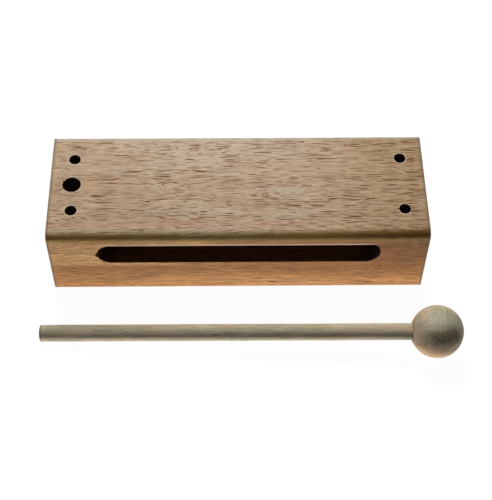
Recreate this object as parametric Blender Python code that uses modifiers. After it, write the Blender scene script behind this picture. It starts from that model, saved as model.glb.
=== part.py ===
"""Slotted wood block with its ball-headed mallet, in metres with +Z up.

The origin is the centre of the block's underside. The block's length and its grain run along X, and the
sound slot opens towards -Y. The mallet lies in front of the slot, on the surface that the block stands on.
"""

import math

import bmesh
import bpy
from mathutils import Matrix, Vector

# Block, planed from one length of hardwood
BLOCK_LENGTH = 0.180
BLOCK_WIDTH = 0.060
BLOCK_HEIGHT = 0.042
FRONT_ROUND = 0.004
ARRIS = 0.0004

# Sound slot, routed in from the front: its height, and the wood left above, behind and at each end of it
SLOT_HEIGHT = 0.0132
ROOF_THICKNESS = 0.0078
BACK_WALL = 0.012
SOLID_END = 0.0225

# Screw holes, two at each end, drilled right through in two rows
SCREW_HOLE_DIAMETER = 0.0055
SCREW_HOLE_END_DISTANCE = 0.011
SCREW_HOLE_SPACING = 0.031
HOLES_BEHIND_MIDDLE = 0.001

# Mallet: a dowel glued into a drilled ball
STICK_DIAMETER = 0.008
MALLET_LENGTH = 0.200
HEAD_DIAMETER = 0.025
SOCKET_DEPTH = 0.014
SOCKET_MOUTH_FLAT = 0.0004
GLUE_GAP = 0.0003
BUTT_CHAMFER = 0.0006

# Hole through the left end that the stick is put away in
STOW_CLEARANCE = 0.0006
STOW_HOLE_END_DISTANCE = 0.0105

# Where the mallet lies: its head's centre from the block's front and right end, and its turn from the block
HEAD_TO_FRONT = 0.0345
HEAD_PAST_END = 0.0029
MALLET_TURN = math.radians(1.75)

# How finely round shapes are faceted
FRONT_ROUND_SEGMENTS = 8
ARRIS_SEGMENTS = 2
HOLE_SIDES = 40
SLOT_SIDES = 48
TURNED_SIDES = 48
BALL_ARC_STEPS = 22
SHARP_ANGLE = math.radians(35)
CUT_OVERRUN = 0.004
WELD_DISTANCE = 0.00001

# Sizes worked out from the ones above
SLOT_LENGTH = BLOCK_LENGTH - 2 * SOLID_END
SLOT_DEPTH = BLOCK_WIDTH - BACK_WALL
STOW_HOLE_DIAMETER = STICK_DIAMETER + STOW_CLEARANCE
STICK_RADIUS = STICK_DIAMETER / 2
HEAD_RADIUS = HEAD_DIAMETER / 2
SOCKET_RADIUS = STICK_RADIUS + GLUE_GAP
MOUTH_RADIUS = SOCKET_RADIUS + SOCKET_MOUTH_FLAT
HEAD_CENTRE_HEIGHT = MALLET_LENGTH - HEAD_RADIUS
MOUTH_HEIGHT = HEAD_CENTRE_HEIGHT - math.sqrt(HEAD_RADIUS**2 - MOUTH_RADIUS**2)
STICK_LENGTH = MOUTH_HEIGHT + SOCKET_DEPTH - GLUE_GAP


def clear_scene():
    """Removes every object, so that the script starts from nothing."""
    for old in list(bpy.data.objects):
        bpy.data.objects.remove(old)


def new_collection(name):
    """A collection under the scene's own."""
    collection = bpy.data.collections.new(name)
    bpy.context.scene.collection.children.link(collection)
    return collection


def wood(name, colour, roughness):
    """A plain wood finish."""
    material = bpy.data.materials.new(name)
    material.use_nodes = True
    shader = material.node_tree.nodes["Principled BSDF"]
    shader.inputs["Base Color"].default_value = (*colour, 1)
    shader.inputs["Roughness"].default_value = roughness
    shader.inputs["Metallic"].default_value = 0
    return material


def object_from(bm, name, collection):
    """An object that holds this mesh, shaded smooth except at its real edges."""
    mesh = bpy.data.meshes.new(name)
    bm.to_mesh(mesh)
    bm.free()
    mesh.shade_smooth()
    mesh.set_sharp_from_angle(angle=SHARP_ANGLE)
    made = bpy.data.objects.new(name, mesh)
    collection.objects.link(made)
    return made


def round_bar(diameter, length, sides):
    """A bar along Z whose flats touch the true circle from outside, so the hole that it cuts is full size."""
    bm = bmesh.new()
    radius = diameter / 2 / math.cos(math.pi / sides)
    half_side = Matrix.Rotation(math.pi / sides, 4, "Z")
    bmesh.ops.create_cone(
        bm, cap_ends=True, segments=sides, radius1=radius, radius2=radius, depth=length, matrix=half_side
    )
    return bm


def cut(body, cutter):
    """Takes the cutter's shape out of the body, and marks the cutter as no part of the model."""
    cutter.hide_render = True
    cutter.display_type = "WIRE"
    boolean = body.modifiers.new(cutter.name, "BOOLEAN")
    boolean.operation = "DIFFERENCE"
    boolean.solver = "EXACT"
    boolean.object = cutter


def blank(collection):
    """The planed block with its front top edge rounded over, before the slot and the holes are cut."""
    bm = bmesh.new()
    bmesh.ops.create_cube(bm, size=1, matrix=Matrix.Diagonal((BLOCK_LENGTH, BLOCK_WIDTH, BLOCK_HEIGHT, 1)))
    front_top = [edge for edge in bm.edges if all(vert.co.y < 0 < vert.co.z for vert in edge.verts)]
    bmesh.ops.bevel(
        bm, geom=front_top, offset=FRONT_ROUND, segments=FRONT_ROUND_SEGMENTS, profile=0.5, affect="EDGES"
    )
    bmesh.ops.translate(bm, verts=bm.verts, vec=(0, 0, BLOCK_HEIGHT / 2))
    return object_from(bm, "block_body", collection)


def slot_cutter(collection):
    """A bar with half-round ends, as long and as high as the slot, that reaches in to the back wall."""
    bm = round_bar(SLOT_HEIGHT, SLOT_DEPTH + CUT_OVERRUN, SLOT_SIDES)
    for vert in bm.verts:
        vert.co.x += math.copysign((SLOT_LENGTH - SLOT_HEIGHT) / 2, vert.co.x)
    bmesh.ops.rotate(bm, verts=bm.verts, cent=(0, 0, 0), matrix=Matrix.Rotation(math.pi / 2, 3, "X"))
    middle_y = (SLOT_DEPTH - CUT_OVERRUN - BLOCK_WIDTH) / 2
    middle_z = BLOCK_HEIGHT - ROOF_THICKNESS - SLOT_HEIGHT / 2
    bmesh.ops.translate(bm, verts=bm.verts, vec=(0, middle_y, middle_z))
    return object_from(bm, "slot_cutter", collection)


def hole_cutter(name, diameter, x, y, collection):
    """A drill that goes right through the block from top to bottom."""
    bm = round_bar(diameter, BLOCK_HEIGHT + 2 * CUT_OVERRUN, HOLE_SIDES)
    bmesh.ops.translate(bm, verts=bm.verts, vec=(x, y, BLOCK_HEIGHT / 2))
    return object_from(bm, name, collection)


def build_block(parts, cutters):
    """The whole block, with its slot, its holes and its lightly sanded edges, in one piece of wood."""
    body = blank(parts)
    cut(body, slot_cutter(cutters))
    screw_x = BLOCK_LENGTH / 2 - SCREW_HOLE_END_DISTANCE
    for end, x in (("left", -screw_x), ("right", screw_x)):
        for row, offset in (("front", -SCREW_HOLE_SPACING / 2), ("back", SCREW_HOLE_SPACING / 2)):
            y = HOLES_BEHIND_MIDDLE + offset
            cut(body, hole_cutter(f"screw_hole_{end}_{row}", SCREW_HOLE_DIAMETER, x, y, cutters))
    stow_x = STOW_HOLE_END_DISTANCE - BLOCK_LENGTH / 2
    cut(body, hole_cutter("stow_hole", STOW_HOLE_DIAMETER, stow_x, HOLES_BEHIND_MIDDLE, cutters))
    sanded = body.modifiers.new("sanded_edges", "BEVEL")
    sanded.limit_method = "ANGLE"
    sanded.angle_limit = SHARP_ANGLE
    sanded.width = ARRIS
    sanded.segments = ARRIS_SEGMENTS
    sanded.use_clamp_overlap = False
    body.data.materials.append(wood("block_wood", (0.43, 0.31, 0.20), 0.6))


def turned(name, profile, material, collection):
    """A solid turned about Z. The (radius, height) points run down its outer side, from top to bottom."""
    bm = bmesh.new()
    points = [bm.verts.new((radius, 0, height)) for radius, height in profile]
    for upper, lower in zip(points, points[1:]):
        bm.edges.new((upper, lower))
    made = object_from(bm, name, collection)
    screw = made.modifiers.new("turned", "SCREW")
    screw.steps = TURNED_SIDES
    screw.render_steps = TURNED_SIDES
    screw.use_merge_vertices = True
    screw.merge_threshold = WELD_DISTANCE
    made.data.materials.append(material)
    return made


def build_stick(collection):
    """The dowel, upright on its butt, with its other end in the head's socket."""
    profile = [
        (0, STICK_LENGTH),
        (STICK_RADIUS, STICK_LENGTH),
        (STICK_RADIUS, BUTT_CHAMFER),
        (STICK_RADIUS - BUTT_CHAMFER, 0),
        (0, 0),
    ]
    return turned("mallet_stick", profile, wood("stick_wood", (0.38, 0.33, 0.25), 0.65), collection)


def build_head(collection):
    """The turned ball, with a blind socket drilled up into it for the stick."""
    ball_sweep = math.pi - math.asin(MOUTH_RADIUS / HEAD_RADIUS)
    profile = []
    for step in range(BALL_ARC_STEPS + 1):
        angle = ball_sweep * step / BALL_ARC_STEPS
        profile.append((HEAD_RADIUS * math.sin(angle), HEAD_CENTRE_HEIGHT + HEAD_RADIUS * math.cos(angle)))
    profile.append((SOCKET_RADIUS, MOUTH_HEIGHT))
    profile.append((SOCKET_RADIUS, MOUTH_HEIGHT + SOCKET_DEPTH))
    profile.append((0, MOUTH_HEIGHT + SOCKET_DEPTH))
    return turned("mallet_head", profile, wood("head_wood", (0.40, 0.33, 0.24), 0.6), collection)


def lay_down(mallet_pieces, collection):
    """Lays the upright mallet on the surface, where it touches with its head and its butt's rim."""
    to_rim = HEAD_CENTRE_HEIGHT - BUTT_CHAMFER
    tilt = math.asin(HEAD_RADIUS / math.hypot(to_rim, STICK_RADIUS)) - math.atan2(STICK_RADIUS, to_rim)
    level = math.cos(tilt)
    along = Vector((level * math.cos(MALLET_TURN), -level * math.sin(MALLET_TURN), math.sin(tilt)))
    head_centre = Vector((BLOCK_LENGTH / 2 + HEAD_PAST_END, -BLOCK_WIDTH / 2 - HEAD_TO_FRONT, HEAD_RADIUS))
    rest = bpy.data.objects.new("mallet_rest", None)
    collection.objects.link(rest)
    rest.rotation_mode = "QUATERNION"
    rest.rotation_quaternion = along.to_track_quat("Z", "Y")
    rest.location = head_centre - along * HEAD_CENTRE_HEIGHT
    for piece in mallet_pieces:
        piece.parent = rest


def main():
    """Builds the block and the mallet in one collection, and the cutters in another."""
    clear_scene()
    parts = new_collection("wood_block")
    cutters = new_collection("cutters")
    build_block(parts, cutters)
    lay_down([build_stick(parts), build_head(parts)], parts)


main()
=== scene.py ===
"""The looks of a slotted wood block and its ball-headed mallet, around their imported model.

Lengths are in metres, and +Z is up. Inside the materials, places are in millimetres. The block's grain runs
along X, its sound slot opens towards -Y, and the mallet lies in front of it on the same floor.
"""

import logging
import math
import random
from collections.abc import Callable, Iterator
from contextlib import contextmanager
from dataclasses import dataclass
from enum import Enum
from typing import ClassVar, Union

import bmesh
import bpy
from bpy.types import Material, Node, NodeSocket, NodeTree, Object, World
from mathutils import Matrix, Vector


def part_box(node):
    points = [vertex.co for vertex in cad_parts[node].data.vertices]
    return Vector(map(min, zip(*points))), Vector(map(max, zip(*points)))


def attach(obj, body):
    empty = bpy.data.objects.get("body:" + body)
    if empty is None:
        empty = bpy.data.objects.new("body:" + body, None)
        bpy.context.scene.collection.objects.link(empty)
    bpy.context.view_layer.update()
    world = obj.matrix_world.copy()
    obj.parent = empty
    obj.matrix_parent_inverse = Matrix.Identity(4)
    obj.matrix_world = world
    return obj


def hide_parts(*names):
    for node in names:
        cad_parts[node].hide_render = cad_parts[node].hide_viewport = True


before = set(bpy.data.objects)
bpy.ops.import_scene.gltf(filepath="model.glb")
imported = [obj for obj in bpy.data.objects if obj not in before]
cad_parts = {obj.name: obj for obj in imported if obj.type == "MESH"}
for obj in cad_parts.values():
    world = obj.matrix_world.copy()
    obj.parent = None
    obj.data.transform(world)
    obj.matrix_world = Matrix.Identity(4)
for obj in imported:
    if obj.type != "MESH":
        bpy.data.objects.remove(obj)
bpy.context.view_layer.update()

LOG = logging.getLogger("wood_block")
MM = 0.001
MM_PER_M = 1000.0
NEAR = 0.00002
SMOOTH_ANGLE = math.radians(35)
SHARP_EDGES = {"limit_method": "ANGLE", "angle_limit": SMOOTH_ANGLE}

Triple = tuple[float, float, float]
Colour = tuple[int, int, int]
Feed = Union["Wire", float, tuple]
Feeds = dict[Union[str, int], Feed]
Paint = Union["Wire", Colour]
Element = Union[bmesh.types.BMVert, bmesh.types.BMEdge, bmesh.types.BMFace]


def paint(colour: Colour) -> tuple[float, float, float, float]:
    """Turns a colour as a screen shows it into the share of light that it reflects.

    Args:
        colour: Red, green and blue from 0 to 255.

    Returns:
        The same colour for a shader socket, with an alpha of 1.
    """
    shares = [value / 255 for value in colour]
    linear = [share / 12.92 if share <= 0.04045 else ((share + 0.055) / 1.055) ** 2.4 for share in shares]
    return (linear[0], linear[1], linear[2], 1.0)


def spoke(turn: float) -> Vector:
    """Gives a level arrow one unit long, turned from +X."""
    return Vector((math.cos(turn), math.sin(turn), 0))


class Pick(Enum):
    """What a selection in edit mode is made of."""

    VERTS = "VERT"
    EDGES = "EDGE"
    FACES = "FACE"

    def middles(self, shape: bmesh.types.BMesh) -> list[tuple[Element, Vector]]:
        """Lists the elements of this kind.

        Args:
            shape: The mesh in edit mode.

        Returns:
            Each element with its middle point.
        """
        if self is Pick.VERTS:
            return [(vert, vert.co.copy()) for vert in shape.verts]
        if self is Pick.EDGES:
            return [(edge, (edge.verts[0].co + edge.verts[1].co) / 2) for edge in shape.edges]
        return [(face, face.calc_center_median()) for face in shape.faces]


def only(piece: Object) -> None:
    """Selects one object and nothing else, because the frame's nodes come in selected.

    Args:
        piece: The object to select and to make active.
    """
    bpy.ops.object.select_all(action="DESELECT")
    piece.select_set(True)
    bpy.context.view_layer.objects.active = piece


@contextmanager
def editing(piece: Object) -> Iterator[None]:
    """Holds one object in edit mode.

    Args:
        piece: The object whose mesh is worked on.
    """
    only(piece)
    bpy.ops.object.mode_set(mode="EDIT")
    yield
    bpy.ops.object.mode_set(mode="OBJECT")


def pick(kind: Pick, test: Callable[[Vector], bool]) -> None:
    """Selects in edit mode by place.

    Args:
        kind: Whether vertices, edges or faces are selected.
        test: Says of an element's middle point whether the element is selected.
    """
    bpy.ops.mesh.select_mode(type=kind.value)
    bpy.ops.mesh.select_all(action="DESELECT")
    mesh = bpy.context.object.data
    shape = bmesh.from_edit_mesh(mesh)
    for element, middle in kind.middles(shape):
        if test(middle):
            element.select_set(True)
    bmesh.update_edit_mesh(mesh)


def settle(piece: Object) -> None:
    """Puts a piece's place, turn and scale in its mesh."""
    only(piece)
    bpy.ops.object.transform_apply(location=True, rotation=True, scale=True)


def primitive(add: Callable[..., set[str]], **settings: object) -> Object:
    """Adds a primitive with nothing else selected, and puts its place in its mesh.

    Args:
        add: The operator that adds it.
        **settings: Its size and place.

    Returns:
        The new object.
    """
    bpy.ops.object.select_all(action="DESELECT")
    add(**settings)
    settle(bpy.context.object)
    return bpy.context.object


def rod(sides: int, radius: float, length: float, middle: Feed, **turned: Triple) -> Object:
    """Adds a round rod, which stands upright unless it is turned."""
    add = bpy.ops.mesh.primitive_cylinder_add
    return primitive(add, vertices=sides, radius=radius, depth=length, location=middle, **turned)


def apply(piece: Object, kind: str, **settings: object) -> None:
    """Adds a modifier to a piece, sets it and applies it.

    Args:
        piece: The object that it works on.
        kind: The modifier's type.
        **settings: Its properties.
    """
    only(piece)
    modifier = piece.modifiers.new(kind.lower(), kind)
    for name, value in settings.items():
        setattr(modifier, name, value)
    bpy.ops.object.modifier_apply(modifier=modifier.name)


def carve(piece: Object, tool: Object, material: Material) -> None:
    """Cuts a tool's shape out of a piece, and throws the tool away.

    Args:
        piece: The piece of wood.
        tool: The closed shape to take away.
        material: The finish of the cut faces.
    """
    tool.data.materials.append(material)
    settings = {"operation": "DIFFERENCE", "solver": "EXACT", "use_self": True, "material_mode": "TRANSFER"}
    apply(piece, "BOOLEAN", object=tool, **settings)
    bpy.data.objects.remove(tool)


def smooth(piece: Object) -> None:
    """Shades a piece smooth up to its real edges, and keeps its flat faces flat.

    Args:
        piece: The finished mesh.
    """
    only(piece)
    bpy.ops.object.shade_smooth_by_angle(angle=SMOOTH_ANGLE)
    apply(piece, "WEIGHTED_NORMAL", keep_sharp=True)


class NodeSheet:
    """Lays down and joins the nodes of one material, world or node group."""

    def __init__(self, tree: NodeTree) -> None:
        """Opens the sheet of a node tree."""
        self.tree = tree

    @classmethod
    def cleared(cls, owner: Union[Material, World]) -> "NodeSheet":
        """Opens the sheet of a material or a world, with nothing on it.

        Args:
            owner: The material or the world.

        Returns:
            The empty sheet.
        """
        owner.use_nodes = True
        owner.node_tree.nodes.clear()
        return cls(owner.node_tree)

    def feed(self, socket: NodeSocket, value: Feed) -> None:
        """Links a socket to the wire that feeds it, or sets its value.

        Args:
            socket: The input.
            value: A wire or a plain value. A vector's socket takes a plain number for all its three parts.
        """
        if isinstance(value, Wire):
            self.tree.links.new(value.socket, socket)
        elif socket.type == "VECTOR" and isinstance(value, float):
            socket.default_value = (value, value, value)
        else:
            socket.default_value = value

    def node(self, kind: str, feeds: Feeds, **settings: object) -> Node:
        """Adds a node.

        Args:
            kind: The node's type, without the word ShaderNode.
            feeds: What its inputs get, by name or by number.
            **settings: Its properties.

        Returns:
            The node.
        """
        node = self.tree.nodes.new("ShaderNode" + kind)
        for name, value in settings.items():
            setattr(node, name, value)
        for name, value in feeds.items():
            self.feed(node.inputs[name], value)
        return node

    def wires(self, node: Node) -> dict[str, "Wire"]:
        """Gives a node's outputs by name."""
        return {socket.name: Wire(self, socket) for socket in node.outputs}

    def wire(self, kind: str, feeds: Feeds, output: int = 0, **settings: object) -> "Wire":
        """Adds a node and gives one of its outputs."""
        return Wire(self, self.node(kind, feeds, **settings).outputs[output])

    def reckon(self, operation: str, *values: Feed) -> "Wire":
        """Works out a number by Math, or a vector by Vector Math where a value is a vector or a colour."""
        kind = "VectorMath" if any(is_vector(value) for value in values) else "Math"
        return self.wire(kind, dict(enumerate(values)), operation=operation)


@dataclass(frozen=True)
class Wire:
    """What one node hands to the next: a number, a vector or a colour, reckoned with as numbers are."""

    sheet: NodeSheet
    socket: NodeSocket

    def __add__(self, other: Feed) -> "Wire":
        """Adds another value."""
        return self.sheet.reckon("ADD", self, other)

    def __sub__(self, other: Feed) -> "Wire":
        """Takes another value away."""
        return self.sheet.reckon("SUBTRACT", self, other)

    def __rsub__(self, other: float) -> "Wire":
        """Takes this value away from a plain number."""
        return self.sheet.reckon("SUBTRACT", other, self)

    def __mul__(self, other: Feed) -> "Wire":
        """Multiplies by another value."""
        return self.sheet.reckon("MULTIPLY", self, other)

    def __truediv__(self, other: Feed) -> "Wire":
        """Divides by another value."""
        return self.sheet.reckon("DIVIDE", self, other)

    def __abs__(self) -> "Wire":
        """Drops the sign."""
        return self.sheet.reckon("ABSOLUTE", self)

    def at_most(self, other: Feed) -> "Wire":
        """Gives the smaller of this number and another."""
        return self.sheet.reckon("MINIMUM", self, other)

    def at_least(self, other: Feed) -> "Wire":
        """Gives the larger of this number and another."""
        return self.sheet.reckon("MAXIMUM", self, other)

    def clamped(self) -> "Wire":
        """Keeps the number that was just worked out between 0 and 1."""
        self.socket.node.use_clamp = True
        return self

    def length(self) -> "Wire":
        """Gives a vector's length."""
        return self.sheet.wire("VectorMath", {0: self}, output=1, operation="LENGTH")

    def parts(self) -> list["Wire"]:
        """Gives a vector's X, Y and Z, or a colour's red, green and blue."""
        return list(self.sheet.wires(self.sheet.node("SeparateXYZ", {0: self})).values())

    def stretched(self, along: Feed, across: Feed) -> "Wire":
        """Divides a place by a length along the grain and a width across it."""
        return self / self.sheet.wire("CombineXYZ", {0: along, 1: across, 2: across})

    def rise(self, low: float, high: float) -> "Wire":
        """Gives a mask that rises smoothly from 0 to 1 as the number goes from low to high."""
        feeds = {"Value": self, "From Min": low, "From Max": high}
        return self.sheet.wire("MapRange", feeds, interpolation_type="SMOOTHSTEP")

    def fall(self, low: float, high: float) -> "Wire":
        """Gives a mask that falls smoothly from 1 to 0 as the number goes from low to high."""
        return 1.0 - self.rise(low, high)

    def noise(self, detail: float = 2.0, roughness: float = 0.5) -> dict[str, "Wire"]:
        """Gives a noise, grey as Fac and coloured as Color, whose blobs are about one unit of this place."""
        feeds = {"Vector": self, "Scale": 1.0, "Detail": detail, "Roughness": roughness}
        return self.sheet.wires(self.sheet.node("TexNoise", feeds))

    def mix(self, under: Paint, over: Paint, blend: str = "MIX") -> "Wire":
        """Lays one colour over another, as far as this mask says.

        Args:
            under: The colour where the mask is 0.
            over: The colour that comes in as the mask nears 1.
            blend: How the colours meet, as the Mix node gives it.

        Returns:
            The mixed colour.
        """
        under, over = (paint(colour) if isinstance(colour, tuple) else colour for colour in (under, over))
        feeds = {0: self, 6: under, 7: over}
        return self.sheet.wire("Mix", feeds, output=2, data_type="RGBA", blend_type=blend)


def is_vector(value: Feed) -> bool:
    """Tells a vector or a colour from a number."""
    return isinstance(value, tuple) or (isinstance(value, Wire) and value.socket.type in {"VECTOR", "RGBA"})


def layered(colour: Wire, *layers: tuple[Wire, Paint]) -> Wire:
    """Lays colours over one another.

    Args:
        colour: The lowest colour.
        *layers: A mask and a colour for each layer, from the lowest up.

    Returns:
        The colour that they come to.
    """
    for mask, over in layers:
        colour = mask.mix(colour, over)
    return colour


class Effect:
    """A surface effect that several finishes share: a node group, built once and placed in each material."""

    NAME: ClassVar[str]
    INPUTS: ClassVar[dict[str, Union[float, Triple]]]
    ORIGIN: ClassVar[Triple] = (0.0, 0.0, 0.0)

    @classmethod
    def draw(cls, given: dict[str, Wire]) -> dict[str, Wire]:
        """Lays the effect's nodes down between the group's inputs and outputs, both by name."""
        raise NotImplementedError

    @classmethod
    def tree(cls) -> NodeTree:
        """Builds the group the first time it is asked for.

        Returns:
            The group.
        """
        if cls.NAME in bpy.data.node_groups:
            return bpy.data.node_groups[cls.NAME]
        tree = bpy.data.node_groups.new(cls.NAME, "ShaderNodeTree")
        sheet = NodeSheet(tree)
        kinds = {True: "NodeSocketVector", False: "NodeSocketFloat"}
        for name, value in {"Vector": cls.ORIGIN, **cls.INPUTS}.items():
            kind = kinds[is_vector(value)]
            tree.interface.new_socket(name=name, in_out="INPUT", socket_type=kind).default_value = value
        start = tree.nodes.new("NodeGroupInput")
        end = tree.nodes.new("NodeGroupOutput")
        for name, wire in cls.draw(sheet.wires(start)).items():
            tree.interface.new_socket(name=name, in_out="OUTPUT", socket_type=kinds[is_vector(wire)])
            sheet.feed(end.inputs[name], wire)
        return tree

    @classmethod
    def on(cls, place: Wire, **feeds: Feed) -> dict[str, Wire]:
        """Places the group in a material, its pattern following a place, and gives its outputs by name."""
        node = place.sheet.node("Group", {"Vector": place, **feeds}, node_tree=cls.tree())
        return place.sheet.wires(node)


class GrainFlow(Effect):
    """Lets the grain sway and ripple, so that what follows it doesn't run dead straight."""

    NAME = "grain_flow"
    INPUTS = {"Sway": 4.0, "Reach": 60.0, "Ripple": 3.0}
    CALM_STRETCH = (0.022, 0.05, 0.05)
    RIPPLE_REACH = 0.28
    WAVE_WIDTH = 0.35

    @classmethod
    def draw(cls, given: dict[str, Wire]) -> dict[str, Wire]:
        """Adds a long sway and a short ripple to the place, across the grain, with calm stretches between.

        Args:
            given: The place, the size of its sway and ripple, and the length of the sway.

        Returns:
            The place along the swaying grain.
        """
        place = given["Vector"]
        calm = (place * cls.CALM_STRETCH).noise(1.0)["Fac"]
        ripple = given["Ripple"] * calm.rise(0.36, 0.62)
        bent = place
        for share, size in ((1.0, given["Sway"]), (cls.RIPPLE_REACH, ripple)):
            along = given["Reach"] * share
            wave = place.stretched(along, along * cls.WAVE_WIDTH).noise(1.0)["Color"]
            bent = bent + (wave - 0.5) * (0.0, 1.0, 1.0) * size
        return {"Vector": bent}


class VesselMarks(Effect):
    """Marks the vessels that a face cuts open: dashes along the grain, and dots on end grain."""

    NAME = "vessel_marks"
    INPUTS = {"Length": 9.0, "Spacing": 1.0, "Fullness": 0.24, "Crowd": 0.5}
    ROW_STRETCH = (0.16, 0.7, 0.7)
    LARGEST = 0.42
    EDGE = 0.09
    RIM_WIDTH = 0.24
    RIM_EDGE = 0.1

    @classmethod
    def draw(cls, given: dict[str, Wire]) -> dict[str, Wire]:
        """Stretches a cell pattern along the grain, fuller in some rows, with each cell's own size and depth.

        Args:
            given: The place, the length and the spacing of the marks, how full they are, and how they crowd.

        Returns:
            The mask of the marks, and that of the rims round them.
        """
        place = given["Vector"].stretched(given["Length"], given["Spacing"])
        sheet = place.sheet
        cells = sheet.wires(sheet.node("TexVoronoi", {"Vector": place, "Scale": 1.0}, feature="F1"))
        size, depth, _ = cells["Color"].parts()
        rows = (place * cls.ROW_STRETCH).noise()["Fac"]
        crowd = rows.rise(0.35, 0.65) * 0.8 + given["Crowd"]
        reach = (given["Fullness"] * ((size * 0.9 + 0.35) * crowd)).at_most(cls.LARGEST)
        gap = reach - cells["Distance"]
        inside = (gap / cls.EDGE).clamped()
        near = ((gap + cls.RIM_WIDTH) / cls.RIM_EDGE).clamped()
        return {"Mask": inside * (depth * 0.6 + 0.4), "Rim": (near - inside).clamped()}


class FibreStreaks(Effect):
    """Draws fine light and dark lines along the grain."""

    NAME = "fibre_streaks"
    INPUTS = {"Length": 30.0, "Width": 0.6}

    @classmethod
    def draw(cls, given: dict[str, Wire]) -> dict[str, Wire]:
        """Stretches a noise along the grain and gives it an even contrast about one half."""
        place = given["Vector"].stretched(given["Length"], given["Width"])
        return {"Streak": place.noise(3.0, 0.6)["Fac"].rise(0.25, 0.75)}


class GrowthRings(Effect):
    """Draws the tree's yearly rings: bands where a face runs along the grain, and arcs on end grain."""

    NAME = "growth_rings"
    INPUTS = {"Pith": (0.0, 30.0, -45.0), "Spacing": 4.5, "Unevenness": 3.0}
    UNEVEN_STRETCH = (0.012, 0.05, 0.05)
    LATE = (0.35, 0.92)
    TURN_OF_YEAR = (0.92, 1.0)

    @classmethod
    def draw(cls, given: dict[str, Wire]) -> dict[str, Wire]:
        """Takes the distance from the tree's pith, and darkens slowly through each ring.

        Args:
            given: The place, the place of the pith, and the rings' spacing and unevenness.

        Returns:
            How far through its year the wood is.
        """
        from_pith = (given["Vector"] - given["Pith"]) * (0.0, 1.0, 1.0)
        uneven = (given["Vector"] * cls.UNEVEN_STRETCH).noise()["Fac"]
        years = uneven * given["Unevenness"] + from_pith.length() / given["Spacing"]
        age = years.sheet.reckon("FRACT", years)
        return {"Ring": age.rise(*cls.LATE) * age.fall(*cls.TURN_OF_YEAR)}


class SoftClouds(Effect):
    """Spreads soft patches of colour that are longer along the grain than across it."""

    NAME = "soft_clouds"
    INPUTS = {"Length": 34.0, "Width": 4.5}

    @classmethod
    def draw(cls, given: dict[str, Wire]) -> dict[str, Wire]:
        """Takes three unlike masks from one coloured noise.

        Args:
            given: The place, and the length and the width of the patches.

        Returns:
            The masks of the warm, the pale and the dull patches.
        """
        place = given["Vector"].stretched(given["Length"], given["Width"])
        patches = place.noise(2.5, 0.55)["Color"].parts()
        return {name: patch.rise(0.36, 0.66) for name, patch in zip(("Warm", "Pale", "Dull"), patches)}


class Surface:
    """A new material, with its node sheet and the place, in metres, that its pattern follows."""

    def __init__(self, name: str) -> None:
        """Starts the material.

        Args:
            name: Its name.
        """
        self.material = bpy.data.materials.new(name)
        self.material.use_nodes = True
        self.sheet = NodeSheet(self.material.node_tree)
        self.place = self.sheet.wires(self.sheet.node("TexCoord", {}))["Object"]

    def dress(self, colour: Wire, roughness: Wire, specular: float, bump: Feeds) -> Material:
        """Feeds the material's shader.

        Args:
            colour: The surface's colour.
            roughness: How matt it is.
            specular: How strongly it shines.
            bump: The height, the strength and the depth of its small relief, as the Bump node names them.

        Returns:
            The finished material.
        """
        inputs = self.material.node_tree.nodes["Principled BSDF"].inputs
        self.sheet.feed(inputs["Base Color"], colour)
        self.sheet.feed(inputs["Roughness"], roughness)
        self.sheet.feed(inputs["Specular IOR Level"], specular)
        self.sheet.feed(inputs["Normal"], self.sheet.wire("Bump", bump))
        return self.material


@dataclass(frozen=True)
class Drilling:
    """One hole drilled down through the block."""

    diameter: float
    x: float
    y: float


class BlockPlace:
    """A place on the block, in millimetres, with the measures that its finish changes by."""

    def __init__(self, place: Wire, block: "SoundBlock") -> None:
        """Takes the measures.

        Args:
            place: The place, in millimetres.
            block: The block, in metres.
        """
        self.x, self.y, self.z = place.parts()
        self.low, self.high = block.low / MM, block.high / MM
        self.turn = block.front_round / MM
        self.slot_top = (block.high.z - block.roof) / MM
        self.slot_start = block.solid_end / MM
        self.wobble = (place * (0.06, 0.5, 0.5)).noise(3.0)["Fac"] - 0.5
        self.to_end = self.high.x - abs(self.x)
        over_axis = self.z - (self.high.z - self.turn)
        self.angle = place.sheet.reckon("ARCTAN2", over_axis, self.low.y + self.turn - self.y)
        self.in_front = self.y.fall(self.low.y + 0.2, self.low.y + 0.9) * self.angle.fall(0.0, 0.9)
        self.middle = abs(self.x).fall(0.1 * self.high.x, 0.7 * self.high.x)
        self.right = self.rightward(0.35, 0.95)
        self.far_end = self.rightward(0.2, 1.0)

    def rightward(self, start: float, end: float) -> Wire:
        """Gives a mask that rises along the block between two shares of its half length."""
        return self.x.rise(start * self.high.x, end * self.high.x)


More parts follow.
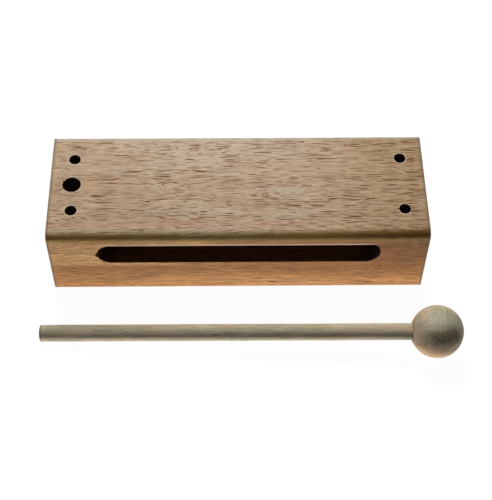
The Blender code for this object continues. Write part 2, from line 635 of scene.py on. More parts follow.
@dataclass(frozen=True)
class BlockWood:
    """Open-pored hardwood, planed and thinly sealed, burnished dark where its front edge was rounded over."""

    ground: Colour = (194, 168, 137)
    pale: Colour = (204, 184, 158)
    warm: Colour = (200, 158, 122)
    dull: Colour = (174, 155, 120)
    vessel: Colour = (106, 56, 12)
    vessel_rim: Colour = (212, 186, 156)
    late_wood: Colour = (172, 136, 102)
    flush: Colour = (192, 140, 112)
    skirt: Colour = (194, 173, 143)
    back_rim: Colour = (204, 191, 170)
    # hole_rim_highlight is a painted highlight round each hole.
    hole_rim_highlight: Colour = (214, 196, 172)
    # far_end darkens the top towards its right end: painted shade where the light falls off.
    far_end: Colour = (236, 228, 214)
    near_end: Colour = (246, 242, 237)
    side_left: Colour = (204, 156, 101)
    side_right: Colour = (168, 112, 62)
    side_end: Colour = (136, 89, 46)
    # side_belt carries painted shade below the slot; side_foot is partly painted light from the floor.
    side_belt: Colour = (160, 110, 60)
    side_foot: Colour = (216, 158, 102)
    foot_rim: Colour = (208, 170, 132)
    side_vessel: Colour = (100, 58, 30)
    # lip is a painted highlight along the slot's upper lip.
    lip_highlight: Colour = (224, 199, 172)
    burnish: Colour = (190, 159, 96)
    burnish_deep: Colour = (160, 118, 48)
    burnish_end: Colour = (116, 82, 32)
    # end_rim_stain_and_shade is partly darker end grain and partly painted shade on the arris at the ends.
    end_rim_stain_and_shade: Colour = (104, 92, 68)
    end_grain: Colour = (168, 139, 106)
    end_grain_deep: Colour = (124, 95, 66)
    end_vessel: Colour = (84, 60, 40)
    roughness: float = 0.62
    specular: float = 0.16

    def material(self, block: "SoundBlock") -> Material:
        """Makes the block's main finish.

        Args:
            block: The block, whose faces and holes the finish follows.

        Returns:
            The material.
        """
        surface = Surface("block_wood")
        place = surface.place * MM_PER_M
        at = BlockPlace(place, block)
        flow = GrainFlow.on(place, Ripple=3.8)["Vector"]
        ring = GrowthRings.on(flow)["Ring"]
        streak = FibreStreaks.on(flow, Length=13.0, Width=0.38)["Streak"]
        vessels, rims = self.open_vessels(flow, ring)
        top = layered(
            self.planed_colour(at, flow, ring, streak),
            (rims * 0.5, self.vessel_rim),
            (vessels, self.vessel),
            (at.y.rise(at.high.y - 2.6, at.high.y - 1.2) * 0.7, self.back_rim),
        )
        # Painted shade: the top darkens towards its right end, where the light falls off.
        top = at.far_end.mix(top, self.far_end, "MULTIPLY")
        near_end = (1.0 - at.rightward(-0.8, -0.1)) * at.y.fall(0.0, 0.8 * at.high.y)
        top = near_end.mix(top, self.near_end, "MULTIPLY")
        # A painted highlight rings each hole.
        top = self.hole_rim_highlights(place, block.drillings()).mix(top, self.hole_rim_highlight)
        behind = at.y.rise(at.high.y - 0.6, at.high.y - 0.2) * at.z.fall(at.high.z - 1, at.high.z - 0.6) * 0.6
        colour = layered(
            top,
            (at.in_front.at_least(behind), self.side_colour(at, flow, vessels)),
            (self.burnished(at, streak), self.burnish_colour(at, streak, vessels)),
            # Darker along the ends: partly end grain, partly painted shade on the arris turned from the
            # light.
            (at.to_end.fall(0.3, 2.0) * 0.55, self.end_rim_stain_and_shade),
            (at.to_end.fall(0.15, 0.45), self.end_colour(place)),
        )
        bump = {"Height": streak * 0.18 - vessels, "Strength": 0.5, "Distance": 0.12 * MM}
        return surface.dress(colour, vessels * 0.2 + self.roughness, self.specular, bump)

    def open_vessels(self, flow: Wire, ring: Wire) -> tuple[Wire, Wire]:
        """Opens the wood's short and long vessels, which crowd where a year's growth ends, and rightwards.

        Args:
            flow: The place along the swaying grain.
            ring: How far through its year the wood is.

        Returns:
            The mask of the vessels, and that of the pale rims beside them.
        """
        rightwards = flow.parts()[0].rise(-10.0, 70.0)
        crowd = ring * 0.5 + (rightwards * 0.27 + 0.33)
        coarse = VesselMarks.on(flow, Length=15.0, Spacing=0.6, Fullness=0.47, Crowd=crowd)
        fine = VesselMarks.on(flow + (3.3, 7.7, 5.1), Length=8.0, Spacing=0.5, Fullness=0.4, Crowd=0.5)
        return coarse["Mask"].at_least(fine["Mask"] * 0.9), coarse["Rim"]

    def hole_rim_highlights(self, place: Wire, holes: list[Drilling]) -> Wire:
        """Finds the thin rim round each hole, where a highlight is painted.

        Args:
            place: The place on the block, in millimetres.
            holes: The holes, in metres.

        Returns:
            The mask of the rims.
        """
        nearest = 10.0
        for hole in holes:
            offset = (place - (hole.x / MM, hole.y / MM, 0.0)) * (1.0, 1.0, 0.0)
            nearest = (offset.length() - hole.diameter / 2 / MM).at_most(nearest)
        return nearest.fall(0.3, 1.0) * 0.6

    def end_colour(self, place: Wire) -> Wire:
        """Colours the sawn ends: arcs of growth, and the vessels as dots.

        Args:
            place: The place on the block, in millimetres.

        Returns:
            The colour.
        """
        ring = GrowthRings.on(place, Unevenness=0.9)["Ring"]
        dots = VesselMarks.on(place, Length=6.0, Spacing=0.75, Fullness=0.36, Crowd=0.4)["Mask"]
        saw = FibreStreaks.on(place, Length=2.0, Width=0.9)["Streak"]
        colour = (ring * 0.6).mix(self.end_grain, self.end_grain_deep)
        return dots.mix(colour, self.end_vessel) * (saw * 0.2 + 0.9)

    def planed_colour(self, at: BlockPlace, flow: Wire, ring: Wire, streak: Wire) -> Wire:
        """Colours the planed top: pinkish, pale and greyish patches, growth bands and fine fibres.

        It is paler at the back, flushed some way behind the rounded edge, and greyer beside that edge.

        Args:
            at: The place on the block.
            flow: The place along the swaying grain.
            ring: How far through its year the wood is.
            streak: The fibres.

        Returns:
            The colour, without its vessels.
        """
        clouds = SoftClouds.on(flow)
        swayed = at.wobble * 3.0 + at.y
        front = at.low.y + at.turn + 0.8
        flush = swayed.rise(front, front + 1.6) * 0.4 * swayed.fall(front + 2.0, front + 6.0)
        colour = layered(
            clouds["Pale"].mix(self.ground, self.pale),
            (clouds["Warm"] * 0.6, self.warm),
            (clouds["Dull"] * 0.28, self.dull),
            (ring * 0.35, self.late_wood),
            (at.middle * (at.y.rise(0.0, 0.8 * at.high.y) * 0.8), self.pale),
            (flush, self.flush),
            (swayed.fall(front, front + 2.0) * (1.0 - at.right) * 0.8, self.skirt),
        )
        return colour * (streak * 0.68 + 0.67)

    def side_colour(self, at: BlockPlace, flow: Wire, vessels: Wire) -> Wire:
        """Colours the upright faces, warmer and closer-grained than the top, with painted shade below the
        slot and brightest at the foot, partly by painted floor light.

        Args:
            at: The place on the block.
            flow: The place along the swaying grain.
            vessels: The mask of the vessels.

        Returns:
            The colour.
        """
        rightwards = at.rightward(-0.55, 0.35)
        height = at.wobble * 4.0 + at.z
        foot = (rightwards * 3.0 + height).fall(2.5, 18.0)
        colour = layered(
            rightwards.mix(self.side_left, self.side_right),
            (at.far_end, self.side_end),
            # Painted shade below the slot, and at the foot partly painted light thrown up from the floor.
            ((rightwards * -2.0 + height).fall(17.0, 21.0), self.side_belt),
            (foot * (rightwards * 0.36 + 0.64), self.side_foot),
        )
        bands = FibreStreaks.on(flow, Length=38.0, Width=2.4)["Streak"]
        streak = FibreStreaks.on(flow, Length=16.0, Width=0.4)["Streak"]
        colour = colour * (bands * 0.22 + 0.89) * (streak * 0.86 + 0.58)
        # Above the slot a strip is painted lighter and its lip paler: a painted highlight where the upper
        # arris catches light.
        over_slot = at.to_end.rise(at.slot_start, at.slot_start + 8) * at.in_front
        over_slot = over_slot * at.z.rise(at.slot_top - 0.1, at.slot_top)
        painted_light_strip = over_slot * at.z.fall(at.slot_top + 1.6, at.slot_top + 4.0)
        lip_highlight = over_slot * at.z.fall(at.slot_top + 0.7, at.slot_top + 1.4)
        colour = (vessels * 0.6).mix(colour, self.side_vessel) * (painted_light_strip * 0.08 + 1.0)
        return layered(colour, (at.z.fall(0.4, 1.6) * 0.6, self.foot_rim), (lip_highlight * 0.85, self.lip_highlight))

    def burnished(self, at: BlockPlace, streak: Wire) -> Wire:
        """Finds the burnished round of the front edge, which reaches further down and back on the right.

        Args:
            at: The place on the block.
            streak: The fibres, which the edges of the burnish follow.

        Returns:
            The mask of the burnish.
        """
        fibrous = (streak - 0.5) * 0.5 + at.angle
        past_middle = at.rightward(0.05, 0.4)
        from_front = at.wobble * 0.8 + (at.right * 0.14 + (past_middle * 0.24 + fibrous))
        from_top = at.wobble * 1.2 + (at.right * -0.24 + (past_middle * -0.28 + fibrous))
        return from_front.rise(-0.3, 0.3) * from_top.fall(0.66, 1.38) * 0.95

    def burnish_colour(self, at: BlockPlace, streak: Wire, vessels: Wire) -> Wire:
        """Colours the burnished round, darker at its right end, with painted shade along its foot.

        Args:
            at: The place on the block.
            streak: The fibres.
            vessels: The mask of the vessels.

        Returns:
            The colour.
        """
        rubbed = (streak * 0.6 + at.middle * 0.35).at_most(1.0)
        colour = rubbed.mix(self.burnish_deep, self.burnish)
        colour = (at.right * at.angle.rise(0.1, 0.8)).mix(colour, self.burnish_end)
        # Painted shade along the foot of the round, where the table light would brighten it.
        foot = at.rightward(-0.35, 0.3) * at.angle.fall(0.35, 0.75)
        return colour * (foot * -0.2 + 1.0) * (vessels * -0.35 + 1.0)


@dataclass(frozen=True)
class CutWood:
    """Wood that a tool has cut across, inside the slot, the holes, the pores and the chips; the routed finish
    carries painted shade at the slot's ends.
    """

    name: str
    light: Colour
    dark: Colour
    painted_shade_from: float = 1.0
    roughness: float = 0.8
    specular: float = 0.1

    def material(self) -> Material:
        """Makes the finish, streaked the way the cutter ran, and darkened with painted shade where the cutter
        turned back.

        Returns:
            The material.
        """
        surface = Surface(self.name)
        place = surface.place * MM_PER_M
        streak = FibreStreaks.on(place, Length=9.0, Width=0.8)["Streak"]
        # Painted shade: the wood darkens towards the ends of the slot.
        painted_shade = abs(place.parts()[0]).rise(self.painted_shade_from / MM, self.painted_shade_from / MM + 8)
        colour = streak.mix(self.dark, self.light) * (painted_shade * -0.7 + 1.0)
        bump = {"Height": streak, "Strength": 0.4, "Distance": 0.1 * MM}
        return surface.dress(colour, streak * 0.1 + self.roughness, self.specular, bump)


@dataclass(frozen=True)
class MalletWood:
    """Bare, pale and fine-grained wood, greyed by handling."""

    name: str
    ground: Colour = (206, 189, 161)
    pale: Colour = (214, 198, 172)
    warm: Colour = (214, 178, 142)
    dull: Colour = (180, 173, 142)
    fleck: Colour = (88, 76, 52)
    # foot is painted warm light on the ball's underside.
    foot: Colour = (240, 192, 146)
    # sheen is a painted sheen on the ball's upper front.
    sheen: Colour = (222, 222, 198)
    # end_tint is partly darker end grain and partly painted shade.
    end_tint: Colour = (226, 229, 223)
    warm_share: float = 0.3
    fleck_share: float = 0.5
    lathe_lines: float = 0.0
    ball_centre: float = 0.0
    mouth: float = 0.0
    pattern_from: Triple = (0.0, 0.0, 0.0)
    roughness: float = 0.66
    specular: float = 0.16

    def material(self, upright: Matrix) -> Material:
        """Makes the finish, with painted shade at the butt end.

        Args:
            upright: Turns a place on the lying mallet back to one on a mallet that lies along X, in metres.

        Returns:
            The material.
        """
        surface = Surface(self.name)
        turn = {"Location": tuple(upright.translation), "Rotation": tuple(upright.to_euler())}
        place = surface.sheet.wire("Mapping", {"Vector": surface.place, **turn}) * MM_PER_M
        flow = GrainFlow.on(place, Sway=2.0, Reach=45.0, Ripple=0.5)["Vector"] + self.pattern_from
        clouds = SoftClouds.on(flow, Length=16.0, Width=3.5)
        streak = FibreStreaks.on(flow, Length=9.0, Width=0.5)["Streak"]
        flecks = VesselMarks.on(flow, Length=7.0, Spacing=0.6, Fullness=0.27)["Mask"]
        colour = layered(
            clouds["Pale"].mix(self.ground, self.pale),
            (clouds["Warm"] * self.warm_share, self.warm),
            (clouds["Dull"] * 0.8, self.dull),
        )
        colour = (flecks * self.fleck_share).mix(colour * (streak * 0.4 + 0.8), self.fleck)
        relief = flecks * -0.6 + streak * 0.5
        if self.ball_centre:
            colour, relief = self.turned_ball(place, colour, relief)
        # Painted shade at the butt end, whose end face turns from the light.
        butt = place.parts()[0].fall(0.3, 1.5)
        bump = {"Height": relief, "Strength": 0.5, "Distance": 0.08 * MM}
        return surface.dress(colour * (butt * -0.5 + 1.0), flecks * 0.2 + self.roughness, self.specular, bump)

    def turned_ball(self, place: Wire, colour: Wire, relief: Wire) -> tuple[Wire, Wire]:
        """Adds a ball's lathe lines, glue line and duller end grain, with a painted sheen, painted shade on
        its front, neck and end, and painted warm light beneath.

        Args:
            place: The place on a mallet that lies along X with +Y up, in millimetres.
            colour: The wood's colour.
            relief: The wood's relief.

        Returns:
            The colour and the relief.
        """
        along, up, near = place.parts()
        centre = self.ball_centre / MM
        ridge = (place * (1.7, 0.05, 0.05)).noise()["Fac"]
        colour = colour * (ridge * self.lathe_lines + (1 - self.lathe_lines / 2))
        patchy = (place * (0.12, 0.3, 0.3)).noise(3.0)["Fac"]
        near = (patchy - 0.5) * 9.0 + near
        off_neck = along.rise(centre - 10, centre - 1)
        # Painted light and shade: a pale sheen on the ball's upper front, and painted shade below it where
        # the ball turns from the light.
        pale = near.rise(-3.0, 1.5) * near.fall(3.0, 7.0) * (off_neck * 0.5)
        dark = near.rise(3.0, 7.0) * near.fall(8.4, 11.4) * (off_neck * -0.28 - 0.06)
        # Painted shade round the neck, where the stick shades the ball.
        neck_shade = along.fall(centre - 11, centre - 4)
        colour = pale.mix(colour, self.sheen) * (dark + 1.0) * (neck_shade * -0.18 + 1.0)
        # Painted warm light on the underside, standing in for light thrown up from the table.
        foot = up.fall(-2.0, 9.0) * (along.rise(centre, centre + 10) * -0.5 + 0.7)
        colour = foot.mix(colour, self.foot)
        # The far end is darker: partly its end grain, partly painted shade on the side turned from the lamp.
        colour = along.rise(centre, centre + 9).mix(colour, self.end_tint, "MULTIPLY")
        glue_line = along.fall(self.mouth / MM, self.mouth / MM + 0.9)
        return colour * (glue_line * -0.35 + 1.0), ridge * 0.8 + relief


@dataclass(frozen=True)
class Nick:
    """A boat-shaped hollow that runs along the grain: a pore, or a place that a splinter has left."""

    place: Vector
    size: Vector
    tilt: float = 0.0
    sides: ClassVar[int] = 10
    rings: ClassVar[int] = 7
    shoulders: ClassVar[tuple[float, float]] = (0.3, 0.49)
    taper: ClassVar[float] = 0.75

    def tool(self) -> Object:
        """Makes the shape to be cut away, pointed at both its ends.

        Returns:
            The tool.
        """
        add = bpy.ops.mesh.primitive_uv_sphere_add
        along = (0, math.pi / 2, 0)
        tool = primitive(add, segments=self.sides, ring_count=self.rings, radius=0.5, rotation=along)
        near, far = self.shoulders
        with editing(tool):
            pick(Pick.VERTS, lambda point: near < abs(point.x) < far)
            bpy.ops.transform.resize(value=(1, self.taper, self.taper), center_override=(0, 0, 0))
        tool.scale = self.size
        tool.rotation_euler = (0, 0, self.tilt)
        tool.location = self.place
        settle(tool)
        return tool


@dataclass(frozen=True)
class NickSizes:
    """How long, wide and deep one kind of nick is, each from and to, in millimetres."""

    length: tuple[float, float]
    width: tuple[float, float]
    depth: tuple[float, float]

    def draw(self, rng: random.Random) -> Vector:
        """Draws the size of one nick.

        Args:
            rng: What the numbers are drawn from. A measure that never changes takes none of them.

        Returns:
            The size, in metres.
        """
        ends = (self.length, self.width, self.depth)
        return Vector([low if low == high else rng.uniform(low, high) for low, high in ends]) * MM


def carve_nicks(piece: Object, nicks: list[Nick], material: Material) -> None:
    """Cuts all of a piece's nicks of one kind in one go.

    Args:
        piece: The piece of wood.
        nicks: The hollows.
        material: The finish of their walls.
    """
    tools = [nick.tool() for nick in nicks]
    only(tools[0])
    for tool in tools:
        tool.select_set(True)
    bpy.ops.object.join()
    carve(piece, tools[0], material)


@dataclass
class SoundBlock:
    """The planed block with its rounded front edge, its sound slot and its five holes, in one piece."""

    low: Vector
    high: Vector
    finish: BlockWood = BlockWood()
    front_round: float = 0.004
    round_steps: int = 14
    round_sway: float = 0.05
    round_seed: int = 11
    round_sway_ends: tuple[float, float] = (-1.0, 0.4)
    station_spacing: float = 0.006
    arris: float = 0.0004
    arris_steps: int = 3
    slot_height: float = 0.0132
    roof: float = 0.0078
    back_wall: float = 0.012
    solid_end: float = 0.0225
    left_inset: float = 0.0006
    tip_rise: float = 0.0006
    tight_corner: float = 0.56
    easy_corner: float = 1.1
    screw_hole: float = 0.0055
    screw_hole_to_end: float = 0.011
    screw_hole_spacing: float = 0.031
    holes_behind_middle: float = 0.001
    stow_hole: float = 0.0086
    stow_hole_to_end: float = 0.0105
    overrun: float = 0.004
    tool_sides: int = 72
    pores_per_face: int = 26
    pore_seed: int = 5
    pore_inset: float = 0.003
    pore_to_hole: float = 0.0005
    pore_tilt: float = 0.03
    pore_tilt_spread: float = 0.07
    level_pore: NickSizes = NickSizes(length=(2.0, 6.5), width=(0.4, 0.62), depth=(0.35, 0.55))
    upright_pore: NickSizes = NickSizes(length=(2.5, 8.0), width=(0.3, 0.45), depth=(0.4, 0.6))
    rim_chip: NickSizes = NickSizes(length=(0.6, 1.1), width=(1.8, 2.4), depth=(1.2, 1.2))
    rim_chip_turn: float = 0.4
    splinter_seed: int = 8
    slot_chips: tuple[tuple[float, float], ...] = ((0.0008, 1.8), (-0.0003, 2.8), (-0.0013, 2.2))
    slot_chip_section: tuple[float, float] = (2.0, 1.2)
    tear_turns: tuple[tuple[float, float], ...] = ((0.1, 4.2), (-0.4, 2.6), (0.5, 2.2), (math.pi, 1.6))
    tear_section: tuple[float, float] = (0.6, 0.6)
    tear_reach: float = 0.25
    tear_tilt: float = 0.06

    def drillings(self) -> list[Drilling]:
        """Lists the holes.

        Returns:
            The four screw holes, and then the larger hole that the mallet is put away in.
        """
        middle = (self.low + self.high) / 2
        line = middle.y + self.holes_behind_middle
        half = self.screw_hole_spacing / 2
        inward = self.screw_hole_to_end
        found = []
        for x in (self.low.x + inward, self.high.x - inward):
            for y in (line - half, line + half):
                found.append(Drilling(self.screw_hole, x, y))
        found.append(Drilling(self.stow_hole, self.low.x + self.stow_hole_to_end, line))
        return found

    def blank(self) -> Object:
        """Planes the block and rounds its front top edge, a little unevenly along its length.

        Returns:
            The block before it is cut.
        """
        centre, size = (self.low + self.high) / 2, self.high - self.low
        block = primitive(bpy.ops.mesh.primitive_cube_add, size=1, location=centre, scale=size)
        block.name = "sound_block"
        front, top = self.low.y, self.high.z
        with editing(block):
            pick(Pick.EDGES, lambda middle: abs(middle.y - front) < NEAR and abs(middle.z - top) < NEAR)
            bpy.ops.mesh.bevel(offset=self.front_round, segments=self.round_steps, affect="EDGES")
            inner = self.front_round - NEAR
            for x in self.stations():
                pick(Pick.FACES, lambda middle: middle.y < front + inner and middle.z > top - inner)
                bpy.ops.mesh.bisect(plane_co=(x, 0, 0), plane_no=(1, 0, 0))
            behind, below = front + self.front_round + NEAR, top - self.front_round - NEAR
            rng = random.Random(self.round_seed)
            for x in self.stations():
                share = 1 + self.round_sway * rng.uniform(*self.round_sway_ends)
                pick(Pick.VERTS, lambda at: abs(at.x - x) < NEAR and at.y < behind and at.z > below)
                bpy.ops.transform.resize(value=(1, share, share), center_override=(x, front, top))
        return block

    def stations(self) -> list[float]:
        """Lists the X of the places along the block where its rounded edge may vary."""
        count = round((self.high.x - self.low.x) / self.station_spacing)
        return [self.low.x + (self.high.x - self.low.x) * step / count for step in range(1, count)]

    def slot_tool(self) -> Object:
        """Makes the router's cut: a bar with round ends, tighter at the top of its right end.

        Returns:
            The tool.
        """
        tip = (self.high.x - self.low.x - 2 * self.solid_end) / 2
        radius = self.slot_height / 2
        shoulder = tip - radius
        depth = self.high.y - self.low.y - self.back_wall + self.overrun
        middle = Vector((0, self.low.y - self.overrun + depth / 2, self.high.z - self.roof - radius))
        tool = rod(self.tool_sides, radius, depth, middle, rotation=(math.pi / 2, 0, 0))
        resize = bpy.ops.transform.resize
        with editing(tool):
            pick(Pick.FACES, lambda point: abs(point.y - middle.y) > depth / 2 - NEAR)
            bpy.ops.mesh.delete(type="FACE")
            bpy.ops.mesh.select_all(action="SELECT")
            bpy.ops.mesh.bisect(plane_co=middle, plane_no=(1, 0, 0))
            for side, inset in ((-1, self.left_inset), (1, 0.0)):
                pick(Pick.VERTS, lambda point: point.x * side > NEAR)
                bpy.ops.transform.translate(value=(side * (shoulder - inset), 0, 0))
            pick(Pick.VERTS, lambda point: point.x > shoulder - NEAR and point.z > middle.z + NEAR)
            upper = (radius - self.tip_rise) / radius
            resize(value=(self.tight_corner, 1, upper), center_override=(tip, 0, middle.z + radius))
            pick(Pick.VERTS, lambda point: point.x > shoulder - radius and point.z < middle.z + NEAR)
            lower = (radius + self.tip_rise) / radius
            resize(value=(self.easy_corner, 1, lower), center_override=(tip, 0, middle.z - radius))
            bpy.ops.mesh.select_all(action="SELECT")
            bpy.ops.mesh.edge_face_add()
        return tool

    def drill(self, drilling: Drilling) -> Object:
        """Makes a drill for one hole."""
        at = (drilling.x, drilling.y, (self.low.z + self.high.z) / 2)
        return rod(self.tool_sides, drilling.diameter / 2, self.high.z - self.low.z + 2 * self.overrun, at)

    def pores(self) -> list[Nick]:
        """Scatters the deepest of the open pores over the top, the underside, the front and the back.

        Returns:
            The pores.
        """
        rng = random.Random(self.pore_seed)
        inset = self.pore_inset
        along = (self.low.x + inset * 2, self.high.x - inset * 2)
        across = (self.low.y + self.front_round + inset, self.high.y - inset)
        holes = self.drillings()
        pores = []
        while len(pores) < 2 * self.pores_per_face:
            z = self.high.z if len(pores) % 2 else self.low.z
            place = Vector((rng.uniform(*along), rng.uniform(*across), z))
            size = self.level_pore.draw(rng)
            clear = size.x / 2 + self.stow_hole / 2 + self.pore_to_hole
            if all(math.hypot(place.x - hole.x, place.y - hole.y) > clear for hole in holes):
                pores.append(Nick(place, size, rng.gauss(self.pore_tilt, self.pore_tilt_spread)))
        below_slot = self.high.z - self.roof - self.slot_height - inset
        for step in range(self.pores_per_face):
            y = self.high.y if step % 2 else self.low.y
            x = rng.uniform(*along)
            size = self.upright_pore.draw(rng)
            pores.append(Nick(Vector((x, y, rng.uniform(self.low.z + inset, below_slot))), size))
        return pores

    def splinters(self) -> list[Nick]:
        """Lists the chips that the cutters tore out: left of the slot, and left of the mallet's hole.

        Returns:
            The chips.
        """
        rng = random.Random(self.splinter_seed)
        slot_end = self.low.x + self.solid_end + self.left_inset
        slot_middle = self.high.z - self.roof - self.slot_height / 2
        torn = []
        for rise, length in self.slot_chips:
            place = Vector((slot_end, self.low.y, slot_middle + rise))
            torn.append(Nick(place, Vector((length, *self.slot_chip_section)) * MM))
        stow = self.drillings()[-1]
        for turn in (math.pi - self.rim_chip_turn, math.pi, math.pi + self.rim_chip_turn):
            rim = spoke(turn) * stow.diameter / 2
            torn.append(Nick(Vector((stow.x, stow.y, self.high.z)) + rim, self.rim_chip.draw(rng)))
        return torn

    def tears(self) -> list[Nick]:
        """Lists the shallow tears beside the front right hole, where the drill lifted the grain.

        Returns:
            The tears.
        """
        hole = self.drillings()[2]
        torn = []
        for turn, length in self.tear_turns:
            rim = spoke(turn) * (hole.diameter / 2 + length * self.tear_reach * MM)
            size = Vector((length, *self.tear_section)) * MM
            torn.append(Nick(Vector((hole.x, hole.y, self.high.z)) + rim, size, self.tear_tilt))
        return torn

    def build(self) -> Object:
        """Builds and dresses the block.

        Returns:
            The finished piece, riding on its body.
        """
        block = self.blank()
        block.data.materials.append(self.finish.material(self))
        # The routed finish gets painted shade towards the slot's ends.
        routed = CutWood("routed_wood", light=(126, 92, 70), dark=(82, 57, 45), painted_shade_from=0.056).material()
        drilled = CutWood("drilled_wood", light=(84, 60, 42), dark=(52, 36, 25)).material()
        carve(block, self.slot_tool(), routed)
        for drilling in self.drillings():
            carve(block, self.drill(drilling), drilled)
        arris = {"width": self.arris, "segments": self.arris_steps, "use_clamp_overlap": False}
        apply(block, "BEVEL", **arris, **SHARP_EDGES)
        # The torn chips take the dark drilled finish: painted shade standing in for the shade inside them.
        carve_nicks(block, self.splinters(), drilled)
        opened = CutWood("open_pore", light=(156, 112, 78), dark=(116, 78, 50)).material()
        carve_nicks(block, self.pores() + self.tears(), opened)
        smooth(block)
        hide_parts("block_body")
        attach(block, "block")
        return block


@dataclass
class Mallet:
    """The dowel and the turned ball that it is glued into, lying in front of the block."""

    block_low: Vector
    block_high: Vector
    stick_finish: MalletWood = MalletWood("stick_wood", fleck_share=0.75)
    head_finish: MalletWood = MalletWood(
        "head_wood",
        lathe_lines=0.55,
        warm_share=0.5,
        fleck_share=0.9,
        ball_centre=0.1875,
        mouth=0.1759,
        pattern_from=(0.0, 9.0, 4.0),
    )
    stick_diameter: float = 0.008
    length: float = 0.200
    head_diameter: float = 0.025
    ball_inset: float = 0.00002
    socket_depth: float = 0.014
    mouth_flat: float = 0.0004
    mouth_arris: float = 0.0003
    mouth_chips: int = 6
    mouth_chips_middle: float = math.pi + 0.2
    mouth_chips_seed: int = 3
    mouth_chip_turn: float = 0.2
    mouth_chip_depth: float = 0.0003
    glue_gap: float = 0.0003
    butt_round: float = 0.0007
    butt_steps: int = 4
    head_to_front: float = 0.0345
    head_past_end: float = 0.0029
    turn: float = math.radians(1.75)
    sides: int = 96
    mouth_chip: NickSizes = NickSizes(length=(1.4, 1.4), width=(1.4, 1.4), depth=(1.6, 3.0))

    @property
    def head_centre_height(self) -> float:
        """How far up the upright mallet its head's centre is."""
        return self.length - self.head_diameter / 2

    @property
    def mouth_height(self) -> float:
        """How far up the upright mallet its head's socket begins."""
        radius = self.head_diameter / 2
        mouth = self.stick_diameter / 2 + self.glue_gap + self.mouth_flat
        return self.head_centre_height - math.sqrt(radius**2 - mouth**2)

    def lying(self) -> Matrix:
        """Works out how the upright mallet lies down, resting on its head and on its butt's rim.

        Returns:
            The matrix from the upright mallet to the lying one.
        """
        radius = self.head_diameter / 2
        stick_radius = self.stick_diameter / 2
        to_rim = self.head_centre_height - self.butt_round
        tilt = math.asin(radius / math.hypot(to_rim, stick_radius)) - math.atan2(stick_radius, to_rim)
        level = math.cos(tilt)
        along = Vector((level * math.cos(self.turn), -level * math.sin(self.turn), math.sin(tilt)))
        head = Vector((self.block_high.x + self.head_past_end, self.block_low.y - self.head_to_front, radius))
        turned = along.to_track_quat("Z", "Y").to_matrix().to_4x4()
        return Matrix.Translation(head - along * self.head_centre_height) @ turned

    def dress(self, piece: Object, finish: MalletWood) -> None:
        """Gives a piece of the upright mallet its finish, whose pattern's X runs along the mallet."""
        upright = Matrix.Rotation(math.pi / 2, 4, "Y") @ self.lying().inverted()
        piece.data.materials.append(finish.material(upright))

    def lay(self, piece: Object) -> None:
        """Smooths a finished piece of the upright mallet and lays it down.

        Args:
            piece: The piece.
        """
        smooth(piece)
        piece.matrix_world = self.lying()
        settle(piece)

    def stick(self) -> Object:
        """Builds the dowel.

        Returns:
            The finished piece, riding on its body.
        """
        length = self.mouth_height + self.socket_depth - self.glue_gap
        stick = rod(self.sides, self.stick_diameter / 2, length, (0, 0, length / 2))
        stick.name = "mallet_dowel"
        with editing(stick):
            pick(Pick.EDGES, lambda middle: middle.z < NEAR and middle.xy.length > self.stick_diameter / 4)
            bpy.ops.mesh.bevel(offset=self.butt_round, segments=self.butt_steps, affect="EDGES")
        self.dress(stick, self.stick_finish)
        self.lay(stick)
        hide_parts("mallet_stick")
        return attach(stick, "mallet")

    def chips(self) -> list[Nick]:
        """Lists the chips along the socket's mouth, on the side that lies away from the block and down.

        Returns:
            The chips, on the upright mallet.
        """
        rng = random.Random(self.mouth_chips_seed)
        radius = self.stick_diameter / 2 + self.glue_gap
        chips = []
        for step in range(self.mouth_chips):
            turn = self.mouth_chips_middle + (step - self.mouth_chips // 2) * self.mouth_chip_turn
            height = self.mouth_height + self.mouth_chip_depth
            place = Vector((math.cos(turn) * radius, math.sin(turn) * radius, height))
            chips.append(Nick(place, self.mouth_chip.draw(rng)))
        return chips

    def head(self) -> Object:
        """Builds the ball with its blind socket.

        Returns:
            The finished piece, riding on its body.
        """
        head = primitive(
            bpy.ops.mesh.primitive_uv_sphere_add,
            segments=self.sides,
            ring_count=self.sides // 2,
            radius=self.head_diameter / 2 - self.ball_inset,
            location=(0, 0, self.head_centre_height),
        )
        head.name = "mallet_ball"
        self.dress(head, self.head_finish)
        reach = self.socket_depth + self.head_diameter / 2
        middle = (0, 0, self.mouth_height + self.socket_depth - reach / 2)
        tool = rod(self.sides, self.stick_diameter / 2 + self.glue_gap, reach, middle)
        carve(head, tool, CutWood("socket_wood", light=(150, 130, 104), dark=(88, 72, 52)).material())
        apply(head, "BEVEL", width=self.mouth_arris, segments=2, **SHARP_EDGES)
        chipped = CutWood("chipped_mouth", light=(84, 66, 46), dark=(52, 40, 26)).material()
        carve_nicks(head, self.chips(), chipped)
        self.lay(head)
        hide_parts("mallet_head")
        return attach(head, "mallet")


@dataclass(frozen=True)
class SoftLamp:
    """A square of soft light, aimed at a point."""

    name: str
    place: Triple
    aim: Triple
    size: tuple[float, float]
    watts: float

    def hang(self) -> None:
        """Adds the lamp."""
        lamp = bpy.data.lights.new(self.name, "AREA")
        lamp.shape = "RECTANGLE"
        lamp.size, lamp.size_y = self.size
        lamp.energy = self.watts
        holder = bpy.data.objects.new(self.name, lamp)
        bpy.context.scene.collection.objects.link(holder)
        holder.location = self.place
        holder.rotation_euler = (Vector(self.aim) - Vector(self.place)).to_track_quat("-Z", "Y").to_euler()


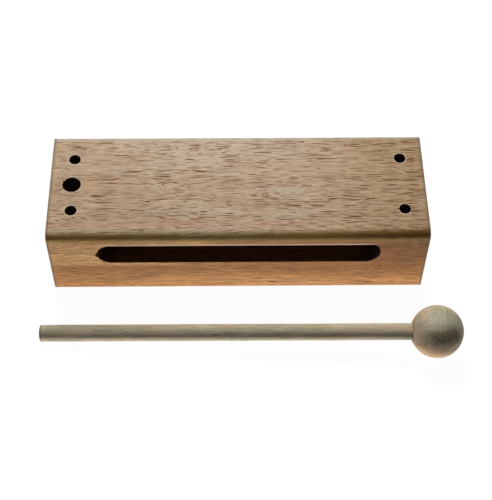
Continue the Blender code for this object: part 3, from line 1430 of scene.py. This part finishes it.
@dataclass(frozen=True)
class PhotoCamera:
    """The viewpoint of the photograph, fitted to the block's corners and holes."""

    place: Triple = (-0.00444, -0.36716, 0.50562)
    look_down: float = 54.613
    look_left: float = -1.363
    roll: float = 0.777
    focal_pixels: float = 1233.68
    picture_height_pixels: float = 500.0
    sensor: float = 36.0

    def set_up(self) -> None:
        """Adds the camera and makes it the scene's own."""
        data = bpy.data.cameras.new("photo_camera")
        data.sensor_fit = "VERTICAL"
        data.sensor_height = self.sensor
        data.lens = self.focal_pixels / self.picture_height_pixels * self.sensor
        camera = bpy.data.objects.new("photo_camera", data)
        bpy.context.scene.collection.objects.link(camera)
        heading = Matrix.Rotation(math.radians(self.look_left), 4, "Z")
        pitch = Matrix.Rotation(math.radians(90 - self.look_down), 4, "X")
        lean = Matrix.Rotation(math.radians(self.roll), 4, "Z")
        camera.matrix_world = Matrix.Translation(self.place) @ heading @ pitch @ lean
        bpy.context.scene.camera = camera


@dataclass
class Studio:
    """A pale floor lit from behind and above, with light coming back up from the table in front."""

    floor_size: float = 6.0
    floor_cuts: int = 5
    floor_white: float = 0.9
    floor_own_white: float = 0.96
    floor_shadow_share: float = 0.12
    fill: float = 0.01
    lamps: tuple[SoftLamp, ...] = (
        SoftLamp("window", (-0.06, 0.42, 0.6), aim=(0, 0, 0.02), size=(0.45, 0.3), watts=5.2),
        SoftLamp("table_front", (0, -0.115, -0.05), aim=(0, -0.02, 0.02), size=(0.3, 0.08), watts=0.08),
        SoftLamp("table_middle", (0, -0.06, -0.03), aim=(0, -0.06, 0.2), size=(0.3, 0.05), watts=0.05),
        SoftLamp("table_by_block", (0, -0.045, -0.012), aim=(0, -0.045, 0.2), size=(0.26, 0.02), watts=0.036),
        SoftLamp("table_by_mallet", (0, -0.08, -0.022), aim=(0, -0.066, 0.2), size=(0.3, 0.02), watts=0.09),
    )

    def shown_or_lit(self, sheet: NodeSheet) -> Wire:
        """Gives 1 where a surface is seen, straight or in gloss or glass, and 0 where it only gives light."""
        path = sheet.wires(sheet.node("LightPath", {}))
        return path["Is Camera Ray"].at_least(path["Is Glossy Ray"]).at_least(path["Is Transmission Ray"])

    def floor(self) -> None:
        """Lays the floor, which shows white but keeps a faint shadow."""
        floor = primitive(bpy.ops.mesh.primitive_plane_add, size=self.floor_size, location=(0, 0, 0))
        floor.name = "floor"
        with editing(floor):
            bpy.ops.mesh.subdivide(number_cuts=self.floor_cuts)
        material = bpy.data.materials.new("pale_floor")
        sheet = NodeSheet.cleared(material)
        white, faint = ((share, share, share, 1.0) for share in (self.floor_white, self.floor_shadow_share))
        matt = sheet.wire("BsdfDiffuse", {"Color": white})
        glow = sheet.wire("Emission", {"Strength": self.floor_own_white})
        veil = sheet.wire("BsdfDiffuse", {"Color": faint})
        seen = sheet.wire("AddShader", {0: glow, 1: veil})
        either = sheet.wire("MixShader", {0: self.shown_or_lit(sheet), 1: matt, 2: seen})
        sheet.node("OutputMaterial", {"Surface": either})
        floor.data.materials.append(material)
        floor.visible_shadow = False

    def world(self) -> None:
        """Makes a world that shows white and lights dimly."""
        world = bpy.data.worlds.new("studio")
        bpy.context.scene.world = world
        sheet = NodeSheet.cleared(world)
        white = (1.0, 1.0, 1.0, 1.0)
        dim = sheet.wire("Background", {"Color": white, "Strength": self.fill})
        shown = sheet.wire("Background", {"Color": white, "Strength": 1.0})
        either = sheet.wire("MixShader", {0: self.shown_or_lit(sheet), 1: dim, 2: shown})
        sheet.node("OutputWorld", {"Surface": either})

    def set_up(self) -> None:
        """Lays the floor, hangs the lamps, and sets the world, the camera and the view."""
        self.floor()
        self.world()
        for lamp in self.lamps:
            lamp.hang()
        PhotoCamera().set_up()
        bpy.context.scene.view_settings.view_transform = "Standard"


def report(piece: Object) -> None:
    """Logs what a finished piece has come to."""
    triangles = sum(len(face.vertices) - 2 for face in piece.data.polygons)
    LOG.info("%s: %d triangles, %d finishes", piece.name, triangles, len(piece.data.materials))


def main() -> None:
    """Builds the studio, the block and the mallet in order."""
    logging.basicConfig(level=logging.INFO, format="%(name)s: %(message)s")
    low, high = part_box("block_body")
    Studio().set_up()
    report(SoundBlock(low, high).build())
    mallet = Mallet(low, high)
    report(mallet.stick())
    report(mallet.head())


if __name__ == "__main__":
    main()
